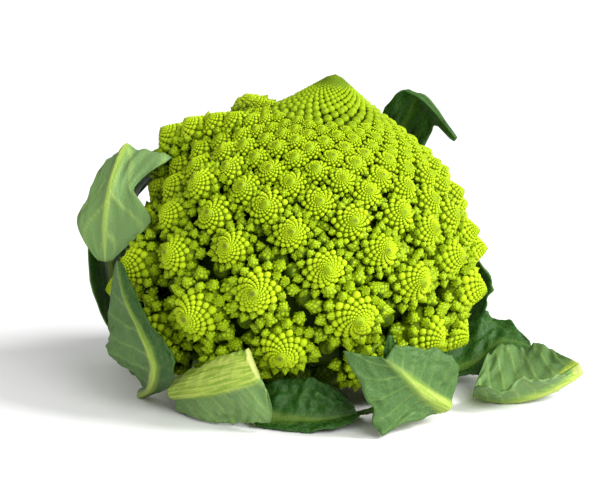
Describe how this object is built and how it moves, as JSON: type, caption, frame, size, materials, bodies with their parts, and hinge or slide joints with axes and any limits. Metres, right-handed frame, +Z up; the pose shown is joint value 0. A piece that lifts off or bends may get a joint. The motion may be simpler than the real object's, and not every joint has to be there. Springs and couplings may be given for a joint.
{
  "type": "romanesco head",
  "caption": "Romanesco head standing on its cut stalk, a cone of spiralling pointed florets with leaves curling and lying round it.",
  "frame": {"origin": "middle of the stalk's cut face, on the surface that the head stands on", "axes": "+Z up, -Y towards the viewer of the front, +X towards the side that the head leans to"},
  "size_m": [0.2255, 0.1871, 0.1441],
  "materials": {
    "curd": "soft matt yellow-green florets",
    "stalk": "pale green stalk with a cut face",
    "leaf": "grey-green waxy leaf with pale veins",
    "leaf_dark": "dark green leaf, slightly glossy",
    "leaf_rib": "pale yellow-green thick midrib"
  },
  "bodies": {
    "root": {"curd": "curd", "stalk": "stalk", "leaf_left_upper": "leaf", "leaf_left_lower": "leaf", "leaf_front_left": "leaf_rib", "leaf_front_low": "leaf_dark", "leaf_front_right": "leaf", "leaf_right": "leaf", "leaf_right_back": "leaf_dark", "leaf_back_right": "leaf_dark", "leaf_inner": "leaf_dark", "leaf_back_left": "leaf", "leaf_back": "leaf"}
  },
  "joints": []
}
